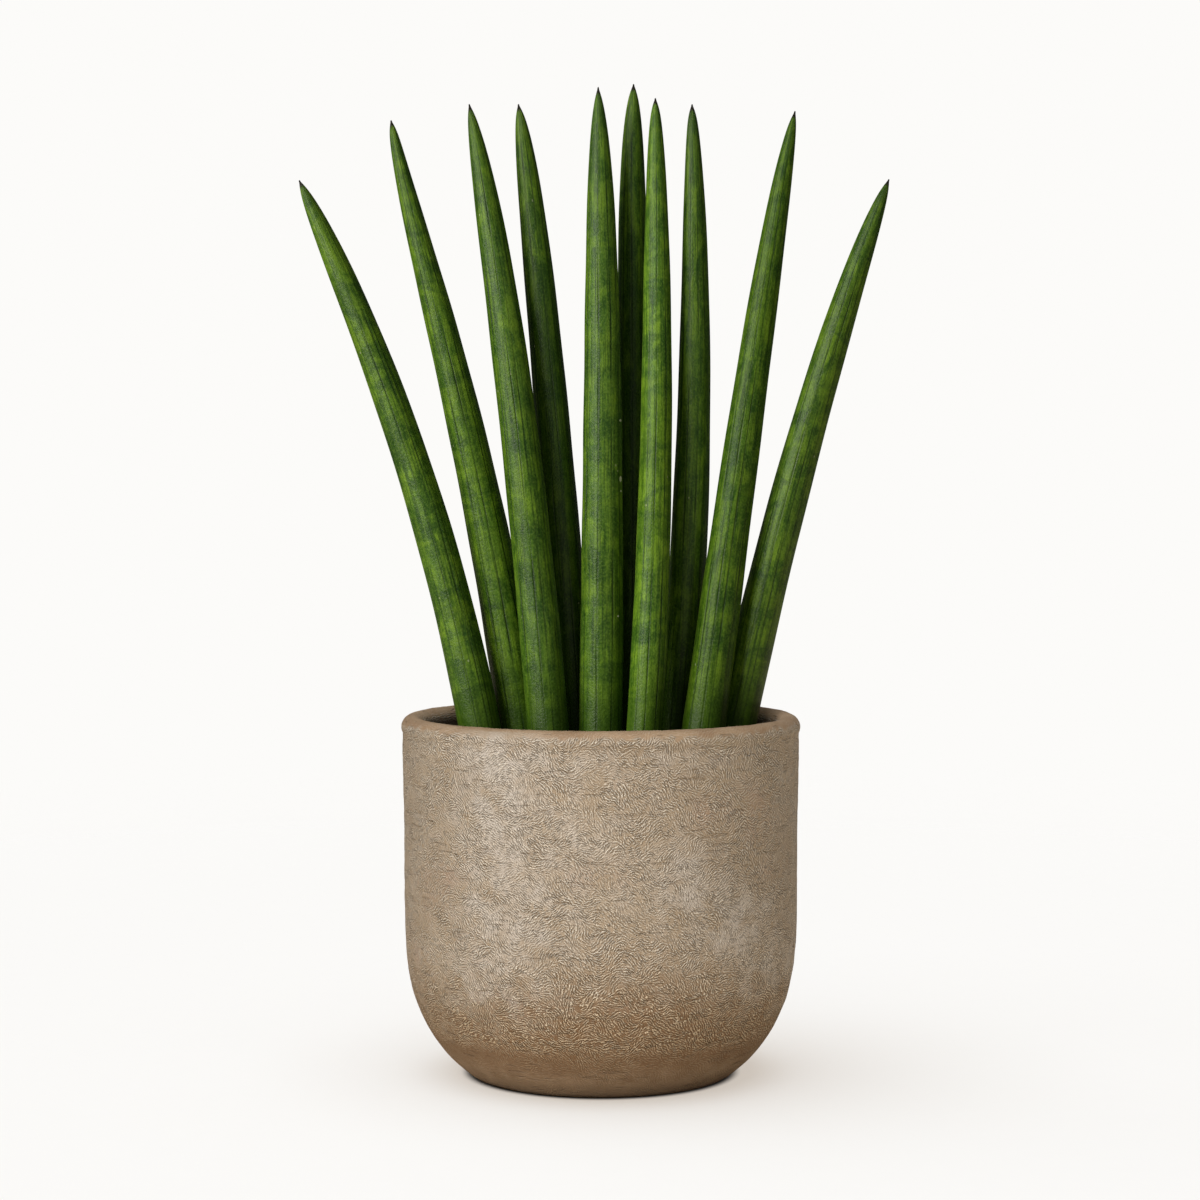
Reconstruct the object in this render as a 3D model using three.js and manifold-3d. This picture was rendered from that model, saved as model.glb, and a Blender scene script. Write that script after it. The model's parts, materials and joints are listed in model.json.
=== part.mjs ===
// Cylindrical snake plant standing in a thick-rimmed round pot.
// Millimetres, +Z up. The origin is the centre of the pot's flat underside, so
// the pot stands on z = 0. -Y is the front, +X is to the right of the front.
//
// Pieces: the pot, the mass of potting soil in it, and ten leaves in two rows.
// Every leaf is a tapering, nearly round spear that comes up out of the soil,
// leans outwards and ends in a point. Nothing here moves.

import * as THREE from "three";
import { mergeVertices } from "three/addons/utils/BufferGeometryUtils.js";
import Module from "manifold-3d";

// ---------------------------------------------------------------- dimensions

// pot
const RIM_RADIUS = 100; // outermost, at the middle of the rounded rim
const RIM_TUBE = 5.6; // radius of the half-round rim
const RIM_CENTRE_Z = 174.4; // height of the rim's tube centre
const POT_HEIGHT = RIM_CENTRE_Z + RIM_TUBE; // 180
const FOOT_RADIUS = 64.6; // flat underside that the pot stands on
const WALL_RADIUS = 98.5; // straight part of the side, outside
const NECK_RADIUS = 99.25; // outside, just under the rim
const INNER_RADIUS = 88.6; // straight part of the side, inside
const FLOOR_Z = 11; // inner floor of the pot
const POT_SEGMENTS = 60;

// outer side from the foot to under the rim: [radius, height]
const OUTER_SIDE = [
  [FOOT_RADIUS, 0],
  [66.8, 1.2],
  [70.4, 4.2],
  [75.0, 8.2],
  [79.4, 13.0],
  [84.0, 19.2],
  [88.2, 26.2],
  [91.6, 33.6],
  [94.2, 41.0],
  [96.2, 49.4],
  [97.6, 59.6],
  [98.3, 71.0],
  [WALL_RADIUS, 86.0],
  [WALL_RADIUS, 112.0],
  [98.85, 138.0],
  [99.15, 156.0],
  [NECK_RADIUS, 167.4],
  [99.05, 168.9],
];
const RIM_STEPS = 9; // points round the half-round rim
// inner side from under the rim down to the middle of the floor
const INNER_SIDE = [
  [89.0, 166.0],
  [88.9, 140.0],
  [INNER_RADIUS, 100.0],
  [88.2, 72.0],
  [86.6, 54.0],
  [83.4, 40.0],
  [78.0, 28.6],
  [70.6, 20.0],
  [61.0, 14.2],
  [48.0, 11.6],
];

// soil
const SOIL_EDGE_Z = 152.0; // at the pot's wall
const SOIL_CROWN_Z = 154.0; // highest ring, part of the way in
const SOIL_MIDDLE_Z = 153.2;
const SOIL_GAP = 0.4; // all round, to the pot
const SOCKET_GAP = 0.35; // all round, between a leaf and the soil

// leaves
const LEAF_SIDES = 14;
// distances along the leaf from its tip at which it has a ring of vertices
const LEAF_STATIONS = [2, 5, 10, 17, 27, 41, 60, 84, 112, 144, 178, 214, 250, 286];

// A leaf's centre line is a cubic Bezier curve from its buried foot to its tip.
// Its radius at a distance s from the tip is
//   point (1 - exp(-s/4)) + shoulder (1 - exp(-s/20)) + belly (1 - exp(-s/80)) + flare s/310
// colour is the leaf's own green.
const LEAVES = {
  leaf_front_far_left: {
    line: [[-52.4, -8, 127], [-68.9, -3, 236], [-98.2, 0, 335.8], [-150.1, 0, 446.3]],
    point: 1.15, shoulder: 3.01, belly: 4.19, flare: 2.51, turn: 0.3, colour: 0x3f6a2c,
  },
  leaf_front_left: {
    line: [[-22.8, -13.5, 127], [-30.3, -8, 238.8], [-44.4, -6, 378.2], [-65.2, -5, 483.3]],
    point: 1.06, shoulder: 2, belly: 6.85, flare: 0.62, turn: 0.9, colour: 0x42672f,
  },
  leaf_front_centre: {
    line: [[-0.5, -6, 127], [1.2, -7.5, 250.8], [2.1, -7.5, 367], [-1.3, -7, 491.4]],
    point: 0.85, shoulder: 3.01, belly: 5.53, flare: 1.83, turn: 0.1, colour: 0x466b30,
  },
  leaf_front_mid_right: {
    line: [[18.4, -18.5, 127], [28.7, -14, 268], [29, -9, 357.3], [27, -7, 486]],
    point: 1.67, shoulder: 1.58, belly: 4.63, flare: 1.29, turn: 0.6, colour: 0x55802f,
  },
  leaf_front_right: {
    line: [[45.3, -9.5, 127], [60.2, -6.5, 241.6], [82.5, -5, 411.4], [96.3, -4, 480]],
    point: 1.13, shoulder: 1.68, belly: 5.09, flare: 2.92, turn: 0.2, colour: 0x4a7330,
  },
  leaf_back_far_left: {
    line: [[-33.2, 10.5, 127], [-60.5, 6.5, 329.1], [-91.7, 2, 408.2], [-104.4, 1, 476.1]],
    point: 1.84, shoulder: 0.13, belly: 5.56, flare: 4.92, turn: 0.7, colour: 0x335a24,
  },
  leaf_back_left: {
    line: [[-8.5, 15.5, 127], [-17.5, 11, 243.6], [-28, 7, 393.6], [-41.1, 5, 484.6]],
    point: 1.39, shoulder: 2.7, belly: 4.51, flare: 1.13, turn: 0.4, colour: 0x2c4a20,
  },
  leaf_back_centre: {
    line: [[14.5, 11.5, 127], [19.7, 9.5, 253.4], [14.6, 8.5, 387.2], [16.4, 9, 495.1]],
    point: 1.24, shoulder: 3.78, belly: 2.92, flare: 1.69, turn: 0.8, colour: 0x263f1c,
  },
  leaf_back_right: {
    line: [[35, 20, 127], [46.2, 9, 257.6], [49.6, -1, 353.8], [45.3, -3, 483.5]],
    point: 1.78, shoulder: 0.84, belly: 5.33, flare: 2.4, turn: 0.5, colour: 0x2f5122,
  },
  leaf_back_far_right: {
    line: [[58.9, 11.5, 127], [74.2, 5, 215.2], [108.7, -4, 358.6], [142.8, -6, 446.2]],
    point: 1.24, shoulder: 2.08, belly: 6.19, flare: 1.62, turn: 0.0, colour: 0x446e2d,
  },
};

// ----------------------------------------------------------------- materials

const stoneware = new THREE.MeshStandardMaterial({
  color: 0x9c8871,
  roughness: 0.72,
  metalness: 0,
});
const earth = new THREE.MeshStandardMaterial({
  color: 0x2d221a,
  roughness: 0.95,
  metalness: 0,
});
const leafSkin = (colour) =>
  new THREE.MeshStandardMaterial({ color: colour, roughness: 0.45, metalness: 0 });

// ------------------------------------------------------------------- helpers

const wasm = await Module();
wasm.setup();

// A geometry with only merged positions and an index.
function welded(geometry) {
  const g = geometry.clone();
  g.deleteAttribute("normal");
  g.deleteAttribute("uv");
  return mergeVertices(g, 1e-4);
}

function toManifold(geometry) {
  const g = welded(geometry);
  return new wasm.Manifold(
    new wasm.Mesh({
      numProp: 3,
      vertProperties: new Float32Array(g.attributes.position.array),
      triVerts: new Uint32Array(g.index.array),
    }),
  );
}

function fromManifold(solid) {
  const m = solid.getMesh();
  const g = new THREE.BufferGeometry();
  g.setAttribute("position", new THREE.BufferAttribute(new Float32Array(m.vertProperties), 3));
  g.setIndex(new THREE.BufferAttribute(new Uint32Array(m.triVerts), 1));
  g.computeVertexNormals();
  return g;
}

// A solid of revolution about +Z. The profile runs from the axis at the bottom,
// up the outside and back to the axis.
function turned(profile, segments) {
  const points = profile.map(([r, z]) => new THREE.Vector2(r, z));
  return new THREE.LatheGeometry(points, segments).rotateX(Math.PI / 2);
}

// A tapering spear along a curve: rings of vertices square to the curve, closed
// by a flat foot and a point. grow widens it and lengthens its foot.
function spear(leaf, grow = 0, footOnly = false) {
  const [a, b, c, d] = leaf.line.map((p) => new THREE.Vector3(...p));
  const curve = new THREE.CubicBezierCurve3(a, b, c, d);
  curve.arcLengthDivisions = 400;
  const length = curve.getLength();
  const radius = (s) =>
    leaf.point * (1 - Math.exp(-s / 4)) +
    leaf.shoulder * (1 - Math.exp(-s / 20)) +
    leaf.belly * (1 - Math.exp(-s / 80)) +
    (leaf.flare * s) / 310 +
    grow;
  const stations = [...LEAF_STATIONS.filter((s) => s < length - 14), length].reverse();
  const used = footOnly ? stations.slice(0, 4) : stations;

  const position = [];
  const index = [];
  const n = LEAF_SIDES;
  used.forEach((s, k) => {
    const u = 1 - s / length;
    const centre = curve.getPointAt(u);
    const along = curve.getTangentAt(u);
    if (k === 0) centre.addScaledVector(along, -grow);
    // two directions square to the curve, the same way round on every ring
    const side = new THREE.Vector3(1, 0, 0).addScaledVector(along, -along.x).normalize();
    const back = new THREE.Vector3().crossVectors(along, side);
    for (let i = 0; i < n; i++) {
      const angle = leaf.turn + (2 * Math.PI * i) / n;
      const p = centre
        .clone()
        .addScaledVector(side, radius(s) * Math.cos(angle))
        .addScaledVector(back, radius(s) * Math.sin(angle));
      position.push(p.x, p.y, p.z);
    }
  });
  const rings = used.length;
  for (let k = 0; k + 1 < rings; k++)
    for (let i = 0; i < n; i++) {
      const p = k * n + i,
        q = k * n + ((i + 1) % n);
      index.push(p, q, q + n, p, q + n, p + n);
    }
  // foot
  const foot = position.length / 3;
  const first = curve.getPointAt(0).addScaledVector(curve.getTangentAt(0), -grow);
  position.push(first.x, first.y, first.z);
  for (let i = 0; i < n; i++) index.push(foot, (i + 1) % n, i);
  // point, or a flat end part of the way up
  const end = position.length / 3;
  const last = footOnly ? curve.getPointAt(1 - used[rings - 1] / length) : d;
  position.push(last.x, last.y, last.z);
  const top = (rings - 1) * n;
  for (let i = 0; i < n; i++) index.push(end, top + i, top + ((i + 1) % n));

  const g = new THREE.BufferGeometry();
  g.setAttribute("position", new THREE.Float32BufferAttribute(position, 3));
  g.setIndex(index);
  g.computeVertexNormals();
  return g;
}

// -------------------------------------------------------------------- pieces

const plant = new THREE.Group();

// pot: foot, rounded lower side, straight side, half-round rim, inner side
{
  const rim = [];
  for (let i = 0; i < RIM_STEPS; i++) {
    const angle = THREE.MathUtils.degToRad(-32 + (i * 222) / (RIM_STEPS - 1));
    rim.push([
      RIM_RADIUS - RIM_TUBE + RIM_TUBE * Math.cos(angle),
      RIM_CENTRE_Z + RIM_TUBE * Math.sin(angle),
    ]);
  }
  const profile = [[0, 0], ...OUTER_SIDE, ...rim, ...INNER_SIDE, [0, FLOOR_Z]];
  const pot = new THREE.Mesh(turned(profile, POT_SEGMENTS), stoneware);
  pot.name = "pot";
  plant.add(pot);
}

// soil: follows the pot's inner side at a small gap, with a slightly crowned top
// and a socket for every leaf
{
  const below = [...INNER_SIDE]
    .reverse()
    .filter(([, z]) => z < SOIL_EDGE_Z - 8)
    .map(([r, z]) => [r - SOIL_GAP - (r < 86 ? 0.15 : 0), z + (r < 86 ? SOIL_GAP : 0)]);
  const profile = [
    [0, FLOOR_Z + SOIL_GAP],
    ...below,
    [88.92 - SOIL_GAP, SOIL_EDGE_Z],
    [80, SOIL_EDGE_Z + 0.6],
    [58, SOIL_CROWN_Z],
    [0, SOIL_MIDDLE_Z],
  ];
  let solid = toManifold(turned(profile, POT_SEGMENTS));
  for (const leaf of Object.values(LEAVES))
    solid = solid.subtract(toManifold(spear(leaf, SOCKET_GAP, true)));
  const soil = new THREE.Mesh(fromManifold(solid), earth);
  soil.name = "soil";
  plant.add(soil);
}

// leaves
for (const [name, leaf] of Object.entries(LEAVES)) {
  const mesh = new THREE.Mesh(spear(leaf), leafSkin(leaf.colour));
  mesh.name = name;
  plant.add(mesh);
}

export default plant;
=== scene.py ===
"""Looks of the potted cylindrical snake plant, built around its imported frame.

Metres, +Z up, -Y is the front. The pot, the soil and the ten leaves are modelled
again at fine resolution on the same curves and profiles as their solids.
"""

import json
import math

import bpy
import numpy as np
from mathutils import Matrix, Vector

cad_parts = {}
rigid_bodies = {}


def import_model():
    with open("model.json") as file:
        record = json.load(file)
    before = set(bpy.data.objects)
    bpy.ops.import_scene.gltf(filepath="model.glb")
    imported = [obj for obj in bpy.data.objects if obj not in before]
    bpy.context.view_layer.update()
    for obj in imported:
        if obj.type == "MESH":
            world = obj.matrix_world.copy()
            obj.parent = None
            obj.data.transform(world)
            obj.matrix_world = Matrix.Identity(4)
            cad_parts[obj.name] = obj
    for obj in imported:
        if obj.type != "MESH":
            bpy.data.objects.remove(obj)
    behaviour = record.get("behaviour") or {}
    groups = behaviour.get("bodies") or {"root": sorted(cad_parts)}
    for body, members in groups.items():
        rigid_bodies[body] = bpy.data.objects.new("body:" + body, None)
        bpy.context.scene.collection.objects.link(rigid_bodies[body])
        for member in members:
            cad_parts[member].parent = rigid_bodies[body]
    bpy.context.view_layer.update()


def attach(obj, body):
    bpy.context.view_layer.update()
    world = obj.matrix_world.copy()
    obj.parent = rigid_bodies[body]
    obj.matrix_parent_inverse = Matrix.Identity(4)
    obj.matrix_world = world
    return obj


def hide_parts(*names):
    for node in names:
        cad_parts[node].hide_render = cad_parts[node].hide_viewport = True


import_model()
scene = bpy.context.scene
scene.view_settings.view_transform = "Standard"
scene.view_settings.look = "None"
scene.view_settings.exposure = 0.0
scene.view_settings.gamma = 1.0

MM = 0.001

# ------------------------------------------------------------ camera, light, floor

CAMERA_AT = (-0.0004, -1.4154, 0.2998)
CAMERA_PITCH_DEG = 2.525  # looking down
LENS_MM = 84.8

cam_data = bpy.data.cameras.new("camera")
cam_data.lens = LENS_MM
cam_data.sensor_width = 36.0
cam_data.sensor_fit = "HORIZONTAL"
cam_data.clip_start = 0.05
cam_data.clip_end = 50.0
cam = bpy.data.objects.new("camera", cam_data)
cam.location = CAMERA_AT
cam.rotation_euler = (math.radians(90.0 - CAMERA_PITCH_DEG), 0.0, 0.0)
scene.collection.objects.link(cam)
scene.camera = cam


def softbox(name, at, towards, width, height, watts, colour=(1.0, 1.0, 1.0)):
    data = bpy.data.lights.new(name, "AREA")
    data.shape = "RECTANGLE"
    data.size, data.size_y = width, height
    data.energy = watts
    data.color = colour
    lamp = bpy.data.objects.new(name, data)
    lamp.location = at
    lamp.rotation_euler = (Vector(towards) - Vector(at)).to_track_quat("-Z", "Y").to_euler()
    lamp.visible_camera = False
    scene.collection.objects.link(lamp)
    return lamp


def sun(name, direction, strength, spread_deg, colour=(1.0, 1.0, 1.0)):
    """An even, very soft light from one side; strength is what a facing white surface shows."""
    data = bpy.data.lights.new(name, "SUN")
    data.energy = strength * math.pi
    data.angle = math.radians(spread_deg)
    data.color = colour
    lamp = bpy.data.objects.new(name, data)
    lamp.rotation_euler = (-Vector(direction)).to_track_quat("-Z", "Y").to_euler()
    lamp.visible_camera = False
    scene.collection.objects.link(lamp)
    return lamp




def round_about(azimuth_deg, elevation_deg, far=1.6, middle=0.24):
    """A place round the object: azimuth 0 is straight in front of it, positive to the right."""
    a, e = math.radians(azimuth_deg), math.radians(elevation_deg)
    return Vector(
        (far * math.cos(e) * math.sin(a), -far * math.cos(e) * math.cos(a), middle + far * math.sin(e))
    )


WARM = (1.0, 0.985, 0.96)
pot_key = softbox("pot_key", round_about(-45.0, 27.0), (0.0, 0.0, 0.10), 0.6, 0.9, 9.1)
pot_front = softbox("pot_front", round_about(-5.0, 27.0), (0.0, 0.0, 0.10), 0.6, 0.9, 8.3, WARM)
pot_high = softbox("pot_high", round_about(-20.0, 50.0), (0.0, 0.0, 0.10), 0.6, 0.9, 5.0, WARM)
pot_fill = sun("pot_fill", (0.80, -0.60, 0.25), 0.115, 100.0, (1.0, 0.96, 0.88))
behind = sun("behind", (0.30, 1.0, 0.35), 0.24, 70.0)
behind.visible_glossy = False
leaf_key = softbox("leaf_key", round_about(-50.0, 20.0), (0.0, 0.0, 0.34), 1.0, 1.2, 26.0, (1.0, 0.985, 0.90))
leaf_front = sun("leaf_front", (0.35, -1.0, 0.35), 0.062, 60.0)
leaf_top = sun("leaf_top", (-0.25, -0.30, 1.0), 0.06, 90.0)
leaf_back = sun("leaf_back", (-0.15, 1.0, 0.30), 0.30, 50.0)
leaf_back.visible_glossy = False
floor_light = sun("floor_light", (-0.16, -0.05, 1.0), 1.29, 74.0)

world = bpy.data.worlds.new("studio")
scene.world = world
world.use_nodes = True
wt = world.node_tree
wt.nodes.clear()
w_out = wt.nodes.new("ShaderNodeOutputWorld")
w_seen = wt.nodes.new("ShaderNodeBackground")
w_seen.inputs["Color"].default_value = (0.973, 0.965, 0.947, 1.0)
w_seen.inputs["Strength"].default_value = 1.0
w_light = wt.nodes.new("ShaderNodeBackground")
w_light.inputs["Color"].default_value = (1.0, 1.0, 1.0, 1.0)
w_light.inputs["Strength"].default_value = 0.05
w_path = wt.nodes.new("ShaderNodeLightPath")
w_mix = wt.nodes.new("ShaderNodeMixShader")
wt.links.new(w_path.outputs["Is Camera Ray"], w_mix.inputs[0])
wt.links.new(w_light.outputs[0], w_mix.inputs[1])
wt.links.new(w_seen.outputs[0], w_mix.inputs[2])
wt.links.new(w_mix.outputs[0], w_out.inputs["Surface"])


# ------------------------------------------------------------ node helpers


class Tree:
    """A small builder for one material's nodes."""

    def __init__(self, name):
        self.material = bpy.data.materials.new(name)
        self.material.use_nodes = True
        self.tree = self.material.node_tree
        self.tree.nodes.clear()
        self.column = 0
        self.output = self.tree.nodes.new("ShaderNodeOutputMaterial")
        self.output.location = (1600, 0)

    def node(self, kind, **settings):
        n = self.tree.nodes.new(kind)
        self.column += 1
        n.location = (-1800 + 170 * (self.column % 18), 900 - 260 * (self.column // 18))
        for key, value in settings.items():
            setattr(n, key, value)
        return n

    def put(self, socket, value):
        if hasattr(value, "is_output"):
            self.tree.links.new(value, socket)
        elif hasattr(socket.default_value, "__len__"):
            value = tuple(value)
            socket.default_value = value + (1.0,) * (len(socket.default_value) - len(value))
        else:
            socket.default_value = value

    def objects(self):
        return self.node("ShaderNodeTexCoord").outputs["Object"]

    def attribute(self, name, output="Fac"):
        return self.node("ShaderNodeAttribute", attribute_name=name).outputs[output]

    def mapping(self, vector, scale=(1, 1, 1), location=(0, 0, 0), rotation=(0, 0, 0)):
        n = self.node("ShaderNodeMapping")
        self.put(n.inputs["Vector"], vector)
        self.put(n.inputs["Location"], location)
        self.put(n.inputs["Rotation"], rotation)
        self.put(n.inputs["Scale"], scale)
        return n.outputs["Vector"]

    def noise(self, vector, scale, detail=2.0, roughness=0.5, distortion=0.0, output="Fac"):
        n = self.node("ShaderNodeTexNoise")
        self.put(n.inputs["Vector"], vector)
        self.put(n.inputs["Scale"], scale)
        self.put(n.inputs["Detail"], detail)
        self.put(n.inputs["Roughness"], roughness)
        self.put(n.inputs["Distortion"], distortion)
        return n.outputs[output]

    def voronoi(self, vector, scale, feature="F1", randomness=1.0, output="Distance"):
        n = self.node("ShaderNodeTexVoronoi", feature=feature)
        self.put(n.inputs["Vector"], vector)
        self.put(n.inputs["Scale"], scale)
        self.put(n.inputs["Randomness"], randomness)
        return n.outputs[output]

    def gabor(self, vector, scale, frequency, anisotropy, orientation, output="Value"):
        n = self.node("ShaderNodeTexGabor", gabor_type="3D")
        self.put(n.inputs["Vector"], vector)
        self.put(n.inputs["Scale"], scale)
        self.put(n.inputs["Frequency"], frequency)
        self.put(n.inputs["Anisotropy"], anisotropy)
        self.put(n.inputs["Orientation"], orientation)
        return n.outputs[output]

    def math(self, operation, a, b=0.0, c=0.0, clamp=False):
        n = self.node("ShaderNodeMath", operation=operation, use_clamp=clamp)
        for socket, value in zip(n.inputs, (a, b, c)):
            self.put(socket, value)
        return n.outputs[0]

    def range(self, value, low, high, to_low=0.0, to_high=1.0, smooth=False):
        n = self.node("ShaderNodeMapRange", clamp=True)
        if smooth:
            n.interpolation_type = "SMOOTHSTEP"
        for key, v in zip(
            ("Value", "From Min", "From Max", "To Min", "To Max"), (value, low, high, to_low, to_high)
        ):
            self.put(n.inputs[key], v)
        return n.outputs["Result"]

    def mix(self, factor, a, b, blend="MIX"):
        n = self.node("ShaderNodeMix", data_type="RGBA", blend_type=blend, clamp_factor=True)
        self.put(n.inputs["Factor"], factor)
        self.put(n.inputs[6], a)
        self.put(n.inputs[7], b)
        return n.outputs[2]

    def mixf(self, factor, a, b):
        n = self.node("ShaderNodeMix", data_type="FLOAT", clamp_factor=True)
        self.put(n.inputs[0], factor)
        self.put(n.inputs[2], a)
        self.put(n.inputs[3], b)
        return n.outputs[0]

    def ramp(self, factor, stops):
        n = self.node("ShaderNodeValToRGB")
        self.put(n.inputs["Fac"], factor)
        ramp = n.color_ramp
        while len(ramp.elements) < len(stops):
            ramp.elements.new(0.5)
        for element, (at, colour) in zip(ramp.elements, stops):
            element.position = at
            element.color = tuple(colour) + (1.0,)
        return n.outputs["Color"]

    def bump(self, height, distance, strength=1.0, normal=None):
        n = self.node("ShaderNodeBump")
        self.put(n.inputs["Height"], height)
        self.put(n.inputs["Distance"], distance)
        self.put(n.inputs["Strength"], strength)
        if normal is not None:
            self.put(n.inputs["Normal"], normal)
        return n.outputs["Normal"]

    def split(self, vector):
        n = self.node("ShaderNodeSeparateXYZ")
        self.put(n.inputs[0], vector)
        return n.outputs

    def surface(self, colour, roughness, normal=None, specular=0.5, **sockets):
        n = self.tree.nodes.new("ShaderNodeBsdfPrincipled")
        n.location = (1250, 0)
        self.put(n.inputs["Base Color"], colour)
        self.put(n.inputs["Roughness"], roughness)
        self.put(n.inputs["Specular IOR Level"], specular)
        for key, value in sockets.items():
            self.put(n.inputs[key.replace("_", " ")], value)
        if normal is not None:
            self.put(n.inputs["Normal"], normal)
        self.tree.links.new(n.outputs[0], self.output.inputs["Surface"])
        return self.material


# ------------------------------------------------------------ mesh helpers


def new_object(name, points, faces, smooth=True):
    mesh = bpy.data.meshes.new(name)
    mesh.from_pydata([tuple(p) for p in points], [], faces)
    mesh.update()
    if smooth:
        mesh.polygons.foreach_set("use_smooth", np.ones(len(mesh.polygons), bool))
    ob = bpy.data.objects.new(name, mesh)
    scene.collection.objects.link(ob)
    return ob


def grid_faces(rows, columns, first=0):
    """Quads between consecutive rows of a tube whose rows run round with the outside on the left hand."""
    r = np.arange(rows - 1)[:, None] * columns + first
    c = np.arange(columns)[None, :]
    d = (np.arange(columns)[None, :] + 1) % columns
    return np.stack([r + c, r + d, r + columns + d, r + columns + c], -1).reshape(-1, 4)


def set_float(ob, name, values):
    layer = ob.data.attributes.new(name, "FLOAT", "POINT")
    layer.data.foreach_set("value", np.asarray(values, np.float32).ravel())


def set_vector(ob, name, values):
    layer = ob.data.attributes.new(name, "FLOAT_VECTOR", "POINT")
    layer.data.foreach_set("vector", np.asarray(values, np.float32).ravel())


def smoothstep(low, high, value):
    t = np.clip((value - low) / (high - low), 0.0, 1.0)
    return t * t * (3.0 - 2.0 * t)


def waves(points, wavelength, spread, count, seed, stretch=(1.0, 1.0, 1.0)):
    """Smooth noise of about unit size: a sum of plane waves with seeded directions and phases."""
    rng = np.random.default_rng(seed)
    way = rng.normal(size=(count, 3))
    way /= np.linalg.norm(way, axis=1)[:, None]
    k = 2 * np.pi / (wavelength * np.exp(rng.uniform(-spread, spread, count)))
    phase = rng.uniform(0, 2 * np.pi, count)
    p = np.asarray(points, float) / np.asarray(stretch, float)
    total = np.zeros(len(p))
    for w, kk, ph in zip(way, k, phase):
        total += np.sin(p @ (w * kk) + ph)
    return total * math.sqrt(2.0 / count)


# ------------------------------------------------------------ floor

FLOOR_R = 2.4
rings = np.concatenate([[0.0], np.linspace(0.08, 0.5, 8), np.linspace(0.6, FLOOR_R, 10)])
pts, quads = [], []
FLOOR_N = 96
for r in rings[1:]:
    a = np.linspace(0, 2 * np.pi, FLOOR_N, endpoint=False)
    pts.append(np.stack([r * np.cos(a), r * np.sin(a), np.zeros_like(a)], 1))
pts = np.concatenate([np.zeros((1, 3)), *pts])
faces = [(0, 1 + i, 1 + (i + 1) % FLOOR_N) for i in range(FLOOR_N)]
faces += [tuple(f) for f in grid_faces(len(rings) - 1, FLOOR_N, 1)[:, ::-1]]
pts[:, 2] = -0.00005
floor = new_object("floor", pts, faces)
t = Tree("floor_pale")
where = t.objects()
away = t.node("ShaderNodeVectorMath", operation="LENGTH")
t.put(away.inputs[0], where)
fade = t.range(away.outputs["Value"], 0.55, 1.5, 0.0, 1.0, smooth=True)
paper = t.noise(where, 60.0, 3.0, 0.6)
seen = t.mix(paper, (0.705, 0.792, 0.870), (0.721, 0.808, 0.886))
felt = t.mix(paper, (0.48, 0.40, 0.30), (0.50, 0.42, 0.32))
path = t.node("ShaderNodeLightPath")
tone = t.mix(path.outputs["Is Camera Ray"], felt, seen)
matt = t.node("ShaderNodeBsdfDiffuse")
t.put(matt.inputs["Color"], tone)
# the paper partly glows, for the camera only, so that shadows on it stay faint
glow = t.node("ShaderNodeEmission")
t.put(glow.inputs["Color"], (0.980, 0.887, 0.788))
bright = t.node("ShaderNodeMixShader")
# the glow is left off within a few millimetres of the foot: a painted contact shadow, a dark ring round the foot
glow_past_painted_contact_shadow = t.range(away.outputs["Value"], 0.0650, 0.0712, 0.0, 0.60, smooth=True)
t.put(bright.inputs[0], t.math("MULTIPLY", path.outputs["Is Camera Ray"], glow_past_painted_contact_shadow))
t.tree.links.new(matt.outputs[0], bright.inputs[1])
t.tree.links.new(glow.outputs[0], bright.inputs[2])
clear = t.node("ShaderNodeBsdfTransparent")
both = t.node("ShaderNodeMixShader")
t.put(both.inputs[0], fade)
t.tree.links.new(bright.outputs[0], both.inputs[1])
t.tree.links.new(clear.outputs[0], both.inputs[2])
t.tree.links.new(both.outputs[0], t.output.inputs["Surface"])
floor.data.materials.append(t.material)

# ------------------------------------------------------------ pot

OUTER_SIDE = np.array(
    [
        [64.6, 0.0], [66.8, 1.2], [70.4, 4.2], [75.0, 8.2], [79.4, 13.0], [84.0, 19.2],
        [88.2, 26.2], [91.6, 33.6], [94.2, 41.0], [96.2, 49.4], [97.6, 59.6], [98.3, 71.0],
        [98.5, 86.0], [98.5, 112.0], [98.85, 138.0], [99.15, 156.0], [99.25, 167.4], [99.05, 168.9],
    ]
)
INNER_SIDE = np.array(
    [
        [89.0, 166.0], [88.9, 140.0], [88.6, 100.0], [88.2, 72.0], [86.6, 54.0],
        [83.4, 40.0], [78.0, 28.6], [70.6, 20.0], [61.0, 14.2], [48.0, 11.6],
    ]
)
FLOOR_Z = 11.0
RIM_TUBE, RIM_R, RIM_Z = 5.6, 94.4, 174.4


def smooth_path(points, step, passes=2):
    """Points a step apart along a polyline whose corners have been rounded."""
    p = np.asarray(points, float)
    for _ in range(passes):
        q = [p[0]]
        for a, b in zip(p[:-1], p[1:]):
            q += [0.75 * a + 0.25 * b, 0.25 * a + 0.75 * b]
        q.append(p[-1])
        p = np.array(q)
    s = np.r_[0, np.cumsum(np.linalg.norm(np.diff(p, axis=0), axis=1))]
    n = max(2, int(round(s[-1] / step)))
    at = np.linspace(0, s[-1], n + 1)
    return np.stack([np.interp(at, s, p[:, 0]), np.interp(at, s, p[:, 1])], 1)


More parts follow.
